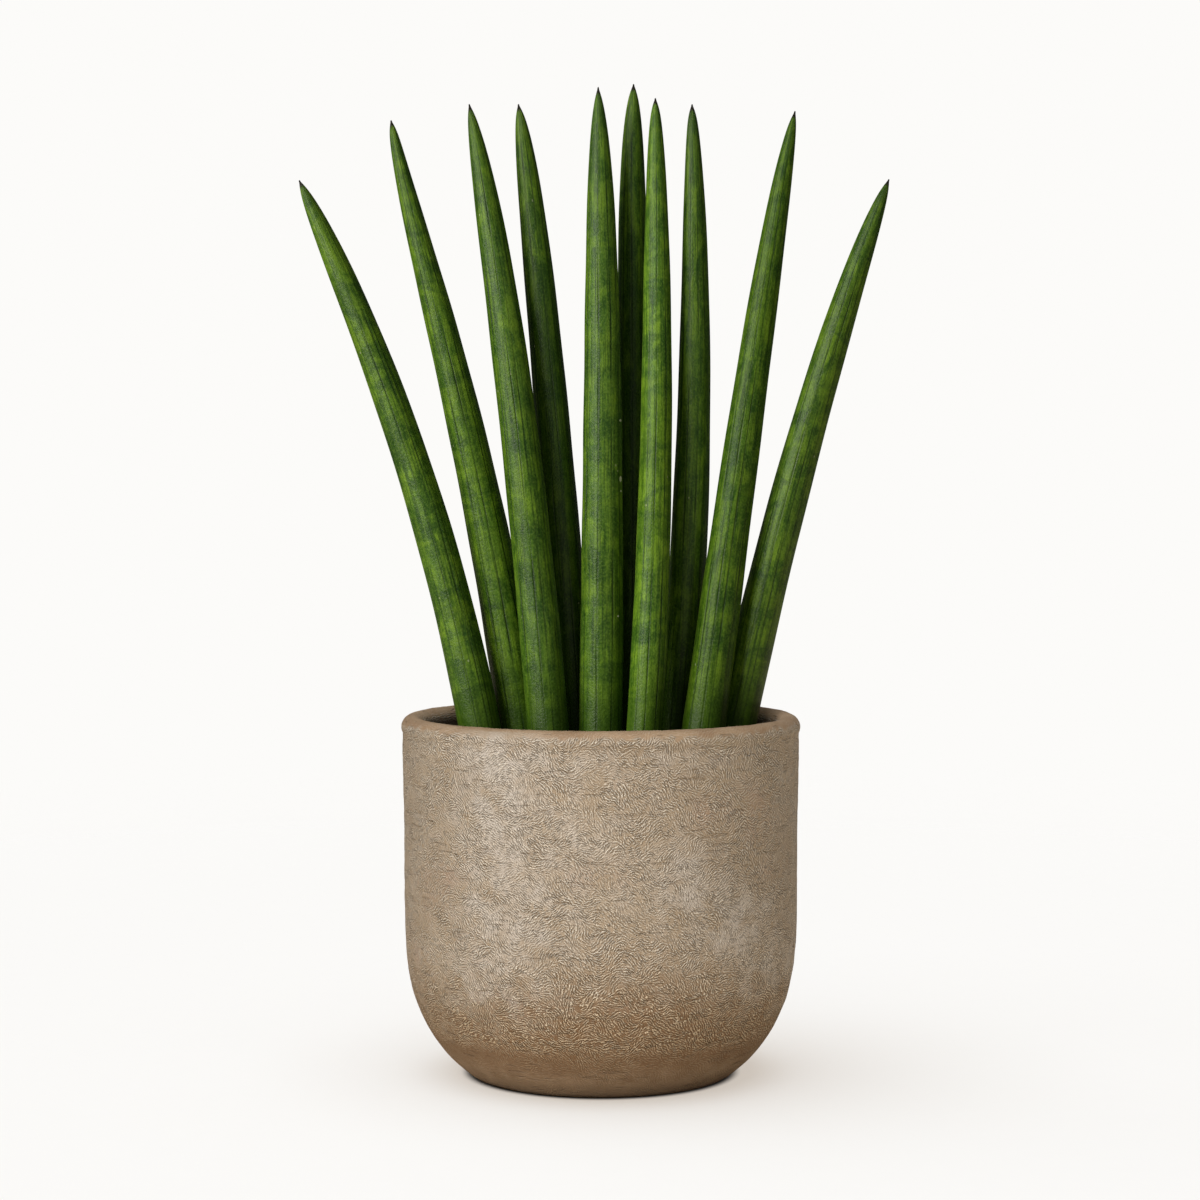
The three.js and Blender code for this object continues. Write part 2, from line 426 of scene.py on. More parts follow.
POT_N = 480
outer = smooth_path(OUTER_SIDE, 1.2)
rim_angles = np.radians(np.linspace(-30, 218, 20))
rim = np.stack([RIM_R + RIM_TUBE * np.cos(rim_angles), RIM_Z + RIM_TUBE * np.sin(rim_angles)], 1)
inner = smooth_path(INNER_SIDE, 1.0)
inner_seen = inner[inner[:, 1] > 150.0][::2]
inner_hidden = smooth_path(np.vstack([inner_seen[-1:], INNER_SIDE[1:], [[0.5, FLOOR_Z]]]), 17.0)[1:]
under = np.array([[0.5, 0.0], [20.0, 0.0], [44.0, 0.0], [60.0, 0.0]])
profile = np.vstack([under, outer, rim, inner_seen, inner_hidden])
is_outer = np.zeros(len(profile), bool)
is_outer[len(under) : len(under) + len(outer)] = True
is_rim = np.zeros(len(profile), bool)
is_rim[len(under) + len(outer) : len(under) + len(outer) + len(rim)] = True

turn = np.linspace(0, 2 * np.pi, POT_N, endpoint=False)
R = np.repeat(profile[:, :1], POT_N, 1)
Z = np.repeat(profile[:, 1:], POT_N, 1)
A = np.repeat(turn[None, :], len(profile), 0)
# outward normal of the profile, from its neighbours
dr = np.gradient(profile[:, 0])
dz = np.gradient(profile[:, 1])
ln = np.hypot(dr, dz)
nr, nz = dz / ln, -dr / ln


def band(shape, seed, low, high, angle=None, width=0.5):
    """Seeded noise on the outer grid that keeps waves from low to high millimetres long, with the waves
    running within `width` radians of `angle`. It closes on itself round the pot."""
    rng = np.random.default_rng(seed)
    rows, cols = shape
    white = rng.normal(size=(rows * 2, cols))
    f = np.fft.fft2(white)
    fy = np.fft.fftfreq(rows * 2, 1.2)[:, None]
    fx = np.fft.fftfreq(cols, 2 * np.pi * 98.5 / cols)[None, :]
    k = np.hypot(fx, fy)
    middle, spread = 0.5 * (1 / low + 1 / high), 0.5 * (1 / low - 1 / high)
    keep = np.exp(-(((k - middle) / spread) ** 2))
    if angle is not None:
        off = np.arctan2(fy, fx) - angle
        off = np.abs((off + np.pi / 2) % np.pi - np.pi / 2)
        keep = keep * np.exp(-((off / width) ** 2))
    keep[0, 0] = 0
    out = np.real(np.fft.ifft2(f * keep))[:rows]
    return out / out.std()


shape = (len(profile), POT_N)
xyz = np.stack([R * np.cos(A), R * np.sin(A), Z], -1).reshape(-1, 3)
wander = waves(xyz, 60.0, 0.5, 40, 11).reshape(shape)
calm = waves(xyz, 34.0, 0.4, 40, 12).reshape(shape)
busy = smoothstep(-0.6, 1.0, waves(xyz, 24.0, 0.45, 60, 13).reshape(shape))
# ridges that lie in groups: four directions, each in its own patches
groups = np.zeros(shape)
weight = np.zeros(shape)
for i, angle in enumerate((0.35, 1.05, 1.75, 2.55)):
    mine = smoothstep(0.0, 1.2, waves(xyz, 26.0, 0.4, 40, 20 + i).reshape(shape))
    groups += mine * band(shape, 30 + i, 2.9, 4.6, angle, 0.35)
    weight += mine
groups /= np.maximum(weight, 0.6)
trowel = band(shape, 41, 9.0, 26.0, math.pi / 2, 0.5)
swell = band(shape, 42, 30.0, 90.0)
low_band = smoothstep(23.0, 31.0, Z) * (1 - smoothstep(52.0, 62.0, Z))
streak = band(shape, 43, 8.0, 20.0, math.pi / 2, 0.35)
rings_of = smoothstep(-0.3, 0.9, streak) * low_band
fade_ends = smoothstep(3.0, 14.0, Z) * (1 - smoothstep(164.0, 169.0, Z))
relief = (
    fade_ends * (0.034 + 0.020 * busy) * groups
    + fade_ends * 0.028 * trowel
    + smoothstep(2.0, 30.0, Z) * 0.07 * swell
)
relief = np.where(is_outer[:, None], relief, 0.0)
lip_wave = band(shape, 44, 18.0, 60.0)
ragged = band(shape, 46, 5.0, 30.0)
relief += is_rim[:, None] * (0.06 * lip_wave + 0.03 * band(shape, 45, 4.0, 9.0))
relief += (Z > 163.0) * (Z < 177.0) * (profile[:, 0] > 97.0)[:, None] * 0.035 * groups
# thin ragged crease under the top of the lip, stronger on some stretches
front_deg = np.degrees(np.arctan2(np.cos(A), -np.sin(A)))
stretches = 0.25 + 0.75 * smoothstep(-10.0, 20.0, front_deg) * (1 - smoothstep(80.0, 100.0, front_deg))
stretches = np.maximum(stretches, 0.8 * smoothstep(-0.2, 0.8, lip_wave) * (np.abs(front_deg) > 95.0))
crease = np.exp(-(((Z - 175.0 - 0.7 * ragged) / 0.8) ** 2)) * (profile[:, 0] > 97.0)[:, None]
relief -= 0.10 * crease * stretches
PR = R + relief * nr[:, None]
PZ = Z + relief * nz[:, None]
PZ[: len(under) + 1] = profile[: len(under) + 1, 1:]
pot_points = np.stack([PR * np.cos(A), PR * np.sin(A), PZ], -1).reshape(-1, 3) * MM
pot_faces = [tuple(f) for f in grid_faces(len(profile), POT_N)]
pot_faces.append(tuple(range(POT_N - 1, -1, -1)))
last = (len(profile) - 1) * POT_N
pot_faces.append(tuple(range(last, last + POT_N)))
pot = new_object("pot_stoneware", pot_points, pot_faces)

# direction of the fine ridges, in the surface
theta = 0.45 * waves(xyz, 20.0, 0.6, 60, 51) + 0.18 * waves(xyz, 8.0, 0.35, 60, 52) + 1.40
around = np.stack([-np.sin(A), np.cos(A), np.zeros_like(A)], -1).reshape(-1, 3)
up = np.stack(
    [
        np.repeat((-nz)[:, None], POT_N, 1) * np.cos(A),
        np.repeat((-nz)[:, None], POT_N, 1) * np.sin(A),
        np.repeat(nr[:, None], POT_N, 1),
    ],
    -1,
).reshape(-1, 3)
grain = np.cos(theta)[:, None] * around + np.sin(theta)[:, None] * up
set_vector(pot, "grain", grain)


def patch(centre_deg, z, size_deg, size_z):
    """A soft spot on the side: 1 in its middle. The angle is measured from the front, to the right."""
    d = (front_deg - centre_deg + 180.0) % 360.0 - 180.0
    return np.exp(-((d / size_deg) ** 2) - (((Z - z) / size_z) ** 2))


warp = 0.5 * band(shape, 61, 12.0, 40.0) + 0.25 * band(shape, 62, 5.0, 12.0)
# pale patches: partly paler stoneware, partly painted sheen; the patches on the front left and on the centre right
# stand in for the soft sheen of the lights
pale_and_sheen = (
    0.9 * patch(-29, 168, 13, 9) + 0.85 * patch(-30, 140, 13, 22) + 0.7 * patch(-27, 92, 16, 28)
    + 0.35 * patch(-4, 128, 12, 20) + 0.85 * patch(24, 110, 9, 15) + 0.85 * patch(42, 86, 13, 16)
    + 0.7 * patch(-36, 56, 12, 11) + 0.4 * patch(8, 165, 30, 5) + 0.5 * patch(-22, 46, 8, 7)
    + 0.6 * patch(52, 58, 10, 10)
    + 0.8 * patch(110, 120, 26, 30) + 0.7 * patch(175, 90, 30, 26) + 0.8 * patch(-120, 130, 28, 28)
    + 0.6 * patch(-150, 60, 26, 18) + 0.6 * patch(75, 60, 18, 18) + 0.5 * patch(145, 150, 22, 16)
)
pale_and_sheen = np.clip(pale_and_sheen * (1.0 + 0.5 * warp) + 0.16 * warp, 0, 1)
rust = (
    0.8 * patch(31, 141, 6, 9) + 0.7 * patch(49, 139, 8, 14) + 0.5 * patch(-57, 100, 9, 12)
    + 0.5 * patch(-48, 108, 7, 8) + 0.45 * patch(-2, 112, 9, 6) + 0.4 * patch(56, 108, 6, 6)
    + 0.5 * patch(4, 47, 26, 8) + 0.5 * patch(-70, 60, 10, 16) + 0.6 * patch(95, 80, 12, 14)
    + 0.6 * patch(160, 130, 12, 12) + 0.6 * patch(-165, 100, 12, 14) + 0.6 * patch(-105, 70, 12, 16)
)
rust = np.clip(rust * (1.0 + 0.6 * warp) + 0.10 * warp - 0.02, 0, 1)
patches = smoothstep(-0.6, 1.0, band(shape, 63, 6.0, 20.0, math.pi / 2, 0.42))
clusters = smoothstep(-0.9, 1.0, band(shape, 65, 7.0, 24.0, math.pi / 2, 0.6))
rough = np.clip((0.72 + 0.34 * clusters) * (0.95 + 0.25 * (busy - 0.5) + 0.12 * calm), 0.2, 1.25)
rough = rough * (1 - low_band) + low_band * (0.75 + 0.95 * patches)
rough *= smoothstep(19.0, 30.0, Z) * 0.70 + 0.30
rough *= 1 - 0.86 * smoothstep(175.8, 177.2, Z + 0.6 * ragged)
rough = np.where(is_outer[:, None] | is_rim[:, None], rough, 0.25)
dots = low_band * patches * smoothstep(-0.4, 0.6, band(shape, 64, 10.0, 30.0))
# the brown of the lower side, which is partly the pot's own brown and partly painted shade, reaches highest a little
# right of the middle
reach = 92.0 + 24.0 * np.exp(-(((front_deg - 12.0) / 26.0) ** 2)) + 12.0 * np.exp(-(((front_deg - 165.0) / 40.0) ** 2))
edge = Z - 0.5 * reach + 5.5 * warp
brown_and_shade = 1 - smoothstep(-20.0, 26.0, edge)
set_float(pot, "brown_and_shade", brown_and_shade)
# painted bounce light: the foot is painted lighter low down, as if lit from the floor
set_float(pot, "foot", 0.72 * (1 - smoothstep(2.0, 22.0, Z + 2.0 * warp)) + 0.28 * (1 - smoothstep(0.5, 7.0, Z)))
set_float(pot, "pale_and_sheen", pale_and_sheen)
set_float(pot, "rust", rust)
set_float(pot, "rough", rough)
set_float(pot, "dots", dots)
lip = smoothstep(176.0, 177.4, Z + 0.6 * ragged) * (1 - 0.9 * np.exp(-(((front_deg + 30.0) / 13.0) ** 2)) * (Z < 179.0))
past_top = is_rim & (profile[:, 0] < RIM_R)
lip = np.where(past_top[:, None], 1.0, lip)
set_float(pot, "lip", lip)
set_float(pot, "worn", np.clip(0.5 + 0.25 * wander + 0.2 * trowel, 0, 1))
# painted shade of the hollow: the inner wall and the inner side of the rim are painted nearly black-brown
inside_shade = np.where((is_outer | is_rim)[:, None], 0.0, 1.0) * np.ones(shape)
inside_shade = np.where(past_top[:, None], 1 - smoothstep(172.5, 178.6, Z), inside_shade)
set_float(pot, "inside_shade", inside_shade)

t = Tree("stoneware_textured")
where = t.objects()
ridge = t.gabor(where, 500.0, 1.75, 0.80, t.attribute("grain", "Vector"))
# the ridges are short, broken strokes
broken = t.range(t.noise(where, 520.0, 1.0, 0.5), 0.34, 0.62, 0.10, 2.0)
ridge = t.math("ADD", t.math("MULTIPLY", t.math("SUBTRACT", ridge, 0.49), broken), 0.49)
# rows of small beads low on the side, and single raised grains everywhere
beads = t.range(t.voronoi(where, 560.0), 0.16, 0.44, 0.92, 0.47, smooth=True)
ridge = t.mixf(t.math("MULTIPLY", t.attribute("dots"), 0.70, clamp=True), ridge, beads)
grains = t.range(t.voronoi(where, 250.0), 0.075, 0.135, 0.45, 0.0, smooth=True)
grains = t.math("MULTIPLY", grains, t.range(t.noise(where, 70.0, 1.0, 0.5), 0.42, 0.60))
ridge = t.math("MAXIMUM", ridge, t.math("ADD", grains, 0.42))
# long shallow marks of the smoothing tool, running round the pot
marks = t.noise(t.mapping(where, (0.13, 0.13, 1.0), (0, 0, 0), (0.10, -0.08, 0)), 560.0, 1.0, 0.5)
scored = t.range(marks, 0.645, 0.70)
pits = t.noise(where, 520.0, 2.0, 0.6)
rough_amount = t.attribute("rough")
fleck = t.noise(t.mapping(where, (1, 1, 1.6)), 46.0, 5.0, 0.62)
cloud = t.noise(where, 15.0, 3.0, 0.55, 0.4)
base = t.ramp(
    cloud,
    [(0.30, (0.385, 0.288, 0.192)), (0.50, (0.460, 0.353, 0.242)), (0.70, (0.500, 0.396, 0.284))],
)
# pale patches: paler stoneware and painted sheen
base = t.mix(t.math("MULTIPLY", t.attribute("pale_and_sheen"), 0.80), base, (0.700, 0.640, 0.578))
base = t.mix(t.math("MULTIPLY", t.attribute("rust"), 0.60), base, (0.440, 0.285, 0.190))
# lower side: browner and darker towards the foot, partly the pot's own brown and partly painted shade of the side that
# turns down
base = t.mix(t.math("MULTIPLY", t.attribute("brown_and_shade"), 0.90), base, (0.238, 0.128, 0.058))
# painted bounce light: the lowest two centimetres or so are painted lighter
base = t.mix(t.attribute("foot"), base, (0.680, 0.505, 0.350))
# warm lip
lip = t.attribute("lip")
lip_tone = t.ramp(fleck, [(0.35, (0.360, 0.220, 0.120)), (0.65, (0.520, 0.350, 0.212))])
base = t.mix(t.math("MULTIPLY", lip, 0.88), base, lip_tone)
base = t.mix(t.range(fleck, 0.35, 0.68, 0.0, 0.14), base, (0.360, 0.262, 0.170), "MIX")
# crests are rubbed pale and hollows hold a darker tone; both are partly the stoneware's own colour and partly painted
# light: a painted highlight on the crests and painted shade in the hollows
crest_wear_and_highlight = t.range(ridge, 0.488, 0.59)
hollow_tone_and_shade = t.range(ridge, 0.35, 0.483, 1.12, 0.0)
brown_and_shade = t.attribute("brown_and_shade")
hollow_tone_and_shade = t.math("MULTIPLY", hollow_tone_and_shade, t.range(brown_and_shade, 0.0, 1.0, 1.0, 0.85))
crest_colour_and_highlight = t.mix(brown_and_shade, (0.930, 0.840, 0.705), (0.880, 0.712, 0.500))
base = t.mix(t.math("MULTIPLY", hollow_tone_and_shade, t.math("MULTIPLY", rough_amount, 1.00, clamp=True)), base, (0.135, 0.085, 0.046))
base = t.mix(t.math("MULTIPLY", crest_wear_and_highlight, t.math("MULTIPLY", rough_amount, 0.95, clamp=True)), base, crest_colour_and_highlight)
base = t.mix(t.math("MULTIPLY", scored, 0.22), base, (0.200, 0.140, 0.090))
grit = t.noise(where, 740.0, 1.0, 0.5)
base = t.mix(t.range(grit, 0.52, 0.68, 0.0, 0.06), base, (0.860, 0.770, 0.640))
base = t.mix(t.range(grit, 0.46, 0.32, 0.0, 0.07), base, (0.120, 0.078, 0.044))
# painted shade inside the pot
inside_shade = t.attribute("inside_shade")
base = t.mix(t.math("MULTIPLY", inside_shade, 0.88), base, (0.090, 0.058, 0.036))
relief_of = t.math("MULTIPLY", t.math("SUBTRACT", ridge, 0.48), rough_amount)
height = t.math("SUBTRACT", relief_of, t.math("MULTIPLY", scored, 0.26))
fine = t.bump(pits, 0.00012, 0.6)
normal = t.bump(height, 0.0018, 1.0, fine)
roughness = t.range(fleck, 0.3, 0.7, 0.62, 0.80)
stoneware = t.surface(base, roughness, normal, 0.35)
pot.data.materials.append(stoneware)
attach(pot, "root")
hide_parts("pot")

# ------------------------------------------------------------ leaves

BASE_Z, SOIL_Z = 127.0, 153.5
# centre line: buried foot, two control points, tip; radius: point, shoulder, belly, flare;
# furrows: angles in degrees from the front, to the right; looks: lightness, yellow, grey, banding
# the lightness is partly each leaf's own tone and partly painted light and shade: back leaves and some others are
# darkened as painted shade of their neighbours
LEAVES = {
    "leaf_front_far_left": dict(
        line=[[-52.4, -8, 127], [-68.9, -3, 236], [-98.2, 0, 335.8], [-150.1, 0, 446.3]],
        radius=(1.15, 3.01, 4.19, 2.51), furrows=(-62, -4, 27, 42, 95, 140, 188, -140, -98),
        light=1.0, yellow=0.35, grey=0.15, banding=0.9, seed=101, slot="leaf",
    ),
    "leaf_front_left": dict(
        line=[[-22.8, -13.5, 127], [-30.3, -8, 238.8], [-44.4, -6, 378.2], [-65.2, -5, 483.3]],
        radius=(1.06, 2, 6.85, 0.62), furrows=(-50, -4, 17, 50, 92, 135, 180, -142, -95),
        light=0.95, yellow=0.15, grey=0.45, banding=0.35, seed=103, slot="leaf",
    ),
    "leaf_front_centre": dict(
        line=[[-0.5, -6, 127], [1.2, -7.5, 250.8], [2.1, -7.5, 367], [-1.3, -7, 491.4]],
        radius=(0.85, 3.01, 5.53, 1.83), furrows=(-56, -14, 27, 54, 96, 138, 182, -136, -96),
        light=1.0, yellow=0.15, grey=0.40, banding=0.55, seed=105, slot="leaf",
        specks=((9.7, 327.0, 0.55, 0.6), (9.8, 298.0, 0.55, 1.5), (10.0, 292.0, 0.35, 0.5), (8.6, 230.0, 0.4, 0.5)),
    ),
    "leaf_front_mid_right": dict(
        line=[[18.4, -18.5, 127], [28.7, -14, 268], [29, -9, 357.3], [27, -7, 486]],
        radius=(1.67, 1.58, 4.63, 1.29), furrows=(-33, -2, 35, 56, 100, 145, 190, -130, -88),
        light=1.25, yellow=0.55, grey=0.15, banding=0.75, seed=107, slot="leaf_bright",
    ),
    "leaf_front_right": dict(
        line=[[45.3, -9.5, 127], [60.2, -6.5, 241.6], [82.5, -5, 411.4], [96.3, -4, 480]],
        radius=(1.13, 1.68, 5.09, 2.92), furrows=(-44, -12, 9, 44, 90, 132, 178, -138, -90),
        light=0.90, yellow=0.35, grey=0.10, banding=0.5, shine=0.20, seed=109, slot="leaf",
    ),
    "leaf_back_far_left": dict(
        line=[[-33.2, 10.5, 127], [-60.5, 6.5, 329.1], [-91.7, 2, 408.2], [-104.4, 1, 476.1]],
        radius=(1.84, 0.13, 5.56, 4.92), furrows=(-58, -28, 6, 38, 88, 130, 176, -144, -100),
        light=1.0, yellow=0.40, grey=0.10, banding=0.8, seed=102, slot="leaf",
    ),
    "leaf_back_left": dict(
        line=[[-8.5, 15.5, 127], [-17.5, 11, 243.6], [-28, 7, 393.6], [-41.1, 5, 484.6]],
        radius=(1.39, 2.7, 4.51, 1.13), furrows=(-48, -18, 14, 48, 94, 140, 184, -136, -92),
        light=0.92, yellow=0.15, grey=0.30, banding=0.4, low_painted_shade=0.58, seed=104, slot="leaf_dark",
    ),
    "leaf_back_centre": dict(
        line=[[14.5, 11.5, 127], [19.7, 9.5, 253.4], [14.6, 8.5, 387.2], [16.4, 9, 495.1]],
        radius=(1.24, 3.78, 2.92, 1.69), furrows=(-40, -6, 30, 62, 102, 146, 192, -132, -88),
        light=0.95, yellow=0.05, grey=0.30, banding=0.3, low_painted_shade=0.62, seed=106, slot="leaf_dark",
    ),
    "leaf_back_right": dict(
        line=[[35, 20, 127], [46.2, 9, 257.6], [49.6, -1, 353.8], [45.3, -3, 483.5]],
        radius=(1.78, 0.84, 5.33, 2.4), furrows=(-52, -22, 12, 40, 86, 128, 174, -146, -100),
        light=0.85, yellow=0.10, grey=0.45, banding=0.4, seed=108, slot="leaf_dark",
    ),
    "leaf_back_far_right": dict(
        line=[[58.9, 11.5, 127], [74.2, 5, 215.2], [108.7, -4, 358.6], [142.8, -6, 446.2]],
        radius=(1.24, 2.08, 6.19, 1.62), furrows=(-46, -14, 12, 37, 90, 134, 180, -140, -94),
        light=0.92, yellow=0.25, grey=0.15, banding=0.7, shine=0.27, seed=110, slot="leaf",
    ),
}


def leaf_radius(spec, s):
    point, shoulder, belly, flare = spec["radius"]
    return (
        point * (1 - np.exp(-s / 4)) + shoulder * (1 - np.exp(-s / 20))
        + belly * (1 - np.exp(-s / 80)) + flare * s / 310
    )


def leaf_line(spec, steps=1200):
    c = np.array(spec["line"], float)
    u = np.linspace(0, 1, steps + 1)[:, None]
    p = (1 - u) ** 3 * c[0] + 3 * u * (1 - u) ** 2 * c[1] + 3 * u**2 * (1 - u) * c[2] + u**3 * c[3]
    d = 3 * (1 - u) ** 2 * (c[1] - c[0]) + 6 * u * (1 - u) * (c[2] - c[1]) + 3 * u**2 * (c[3] - c[2])
    d /= np.linalg.norm(d, axis=1)[:, None]
    s = np.r_[0, np.cumsum(np.linalg.norm(np.diff(p, axis=0), axis=1))]
    return p, d, s[-1] - s  # point, direction, distance from the tip


def build_leaf(name, spec):
    rng = np.random.default_rng(spec["seed"])
    p, d, from_tip = leaf_line(spec)
    length = from_tip[0]
    stations = np.concatenate(
        [
            [0.0, 0.25, 0.6, 1.0, 1.6, 2.3, 3.2, 4.2, 5.4, 6.8, 8.4, 10.2],
            np.arange(12.2, 40, 1.9),
            np.arange(40, length - 27, 2.4),
            np.linspace(length - 25, length, 5),
        ]
    )
    at = np.array([np.interp(stations, from_tip[::-1], p[::-1, i]) for i in range(3)]).T
    along = np.array([np.interp(stations, from_tip[::-1], d[::-1, i]) for i in range(3)]).T
    along /= np.linalg.norm(along, axis=1)[:, None]
    side = np.array([1.0, 0, 0]) - along * along[:, :1]
    side /= np.linalg.norm(side, axis=1)[:, None]
    back = np.cross(along, side)
    radius = leaf_radius(spec, stations)
    radius = np.sqrt(radius**2 + (0.42 * np.exp(-stations / 4.0)) ** 2)  # a needle point that has some body
    # columns: close together at each furrow, wider between
    furrows = np.sort(np.radians(np.array(spec["furrows"], float)) % (2 * np.pi))
    mean_r = 11.0
    half = np.array([-1.5, -0.85, -0.45, -0.2, 0.0, 0.2, 0.45, 0.85, 1.5]) / mean_r
    columns, furrow_of = [], []
    for i, a in enumerate(furrows):
        b = furrows[(i + 1) % len(furrows)] + (2 * np.pi if i == len(furrows) - 1 else 0)
        gap_a, gap_b = a + half[-1], b + half[0]
        columns += list(a + half)
        if gap_b > gap_a:
            extra = max(1, int((gap_b - gap_a) * mean_r / 1.15))
            columns += list(np.linspace(gap_a, gap_b, extra + 2)[1:-1])
    columns = np.array(columns)
    order = np.argsort(columns)
    columns = columns[order]
    n = len(columns)
    rows = len(stations)
    s = stations[:, None]
    # every furrow wanders a little along the leaf
    sway = np.zeros((rows, n))
    depth_at = np.zeros((rows, n))
    dark = np.zeros((rows, n))
    for i, a in enumerate(furrows):
        off = (columns - a + np.pi) % (2 * np.pi) - np.pi
        near = np.exp(-((off / 0.30) ** 2))[None, :]
        w = sum(
            rng.uniform(0.2, 0.5) * np.sin(2 * np.pi * s / rng.uniform(60, 240) + rng.uniform(0, 6.28))
            for _ in range(3)
        )
        sway += near * w * 0.030
        strength = np.clip(
            0.75 + 0.35 * sum(np.sin(2 * np.pi * s / rng.uniform(30, 160) + rng.uniform(0, 6.28)) for _ in range(3)) / 1.5,
            0.35, 1.25,
        ) * rng.uniform(0.6, 1.1)
        fade = smoothstep(4.0, 38.0, s)
        off_mm = off[None, :] * mean_r
        depth_at += strength * fade * (
            0.24 * np.exp(-((off_mm / 0.30) ** 2)) + 0.04 * np.exp(-((off_mm / 0.9) ** 2))
        )
        dark = np.maximum(dark, np.clip(strength, 0, 1) * np.exp(-((off_mm / 0.46) ** 2)))
    angle = columns[None, :] + sway
    # slightly uneven section and girth
    a1, a2, a3 = rng.uniform(0, 6.28, 3)
    oval = 1 + 0.012 * np.cos(2 * angle + a1) + 0.008 * np.cos(3 * angle + a2 + s / 90)
    girth = 1 + 0.010 * np.sin(2 * np.pi * s / rng.uniform(50, 80) + a3) * smoothstep(20, 60, s)
    # the skin lies flatter from one furrow to the next
    flats = np.ones(n)
    for i, a in enumerate(furrows):
        b = furrows[(i + 1) % len(furrows)] + (2 * np.pi if i == len(furrows) - 1 else 0)
        turned = (columns - a) % (2 * np.pi)
        inside_it = turned <= (b - a) + 1e-9
        h = 0.5 * (b - a)
        flats[inside_it] = math.cos(h) / np.cos(turned[inside_it] - h)
    flatness = 0.22 * smoothstep(1.5, 4.5, radius)[:, None]
    r = radius[:, None] * oval * girth * (1 + flatness * (flats[None, :] / flats.mean() - 1))
    shrink = smoothstep(0, 30, radius[:, None] * 2.6)
    r = np.maximum(r - depth_at * shrink, 0.05)
    sn, cs = np.sin(angle), np.cos(angle)
    pts = at[:, None, :] + r[..., None] * (sn[..., None] * side[:, None, :] - cs[..., None] * back[:, None, :])
    pts = pts.reshape(-1, 3)
    tip = (at[0] + along[0] * 0.45)[None]
    foot = at[-1:]
    all_pts = np.concatenate([pts, tip, foot]) * MM
    faces = [tuple(f) for f in grid_faces(rows, n)[:, ::-1]]
    ti, fi = rows * n, rows * n + 1
    faces += [(ti, i, (i + 1) % n) for i in range(n)]
    b0 = (rows - 1) * n
    faces += [(fi, b0 + (i + 1) % n, b0 + i) for i in range(n)]
    ob = new_object("visual_" + name, all_pts, faces)
    straight = np.stack(
        [11.0 * np.sin(angle), 11.0 * np.cos(angle), np.repeat(length - s, n, 1)], -1
    ).reshape(-1, 3)
    straight = np.concatenate([straight, [[0, 0, length]], [[0, 0, 0]]]) * MM + spec["seed"] * 0.37
    set_vector(ob, "straight", straight)
    set_float(ob, "furrow", np.r_[dark.ravel(), 0, 0])
    set_float(ob, "from_tip", np.r_[np.repeat(s, n, 1).ravel(), 0, length] * MM)
    above = np.r_[all_pts[:-2, 2], all_pts[-2, 2], all_pts[-1, 2]] - SOIL_Z * MM
    set_float(ob, "above_soil", above)
    return ob


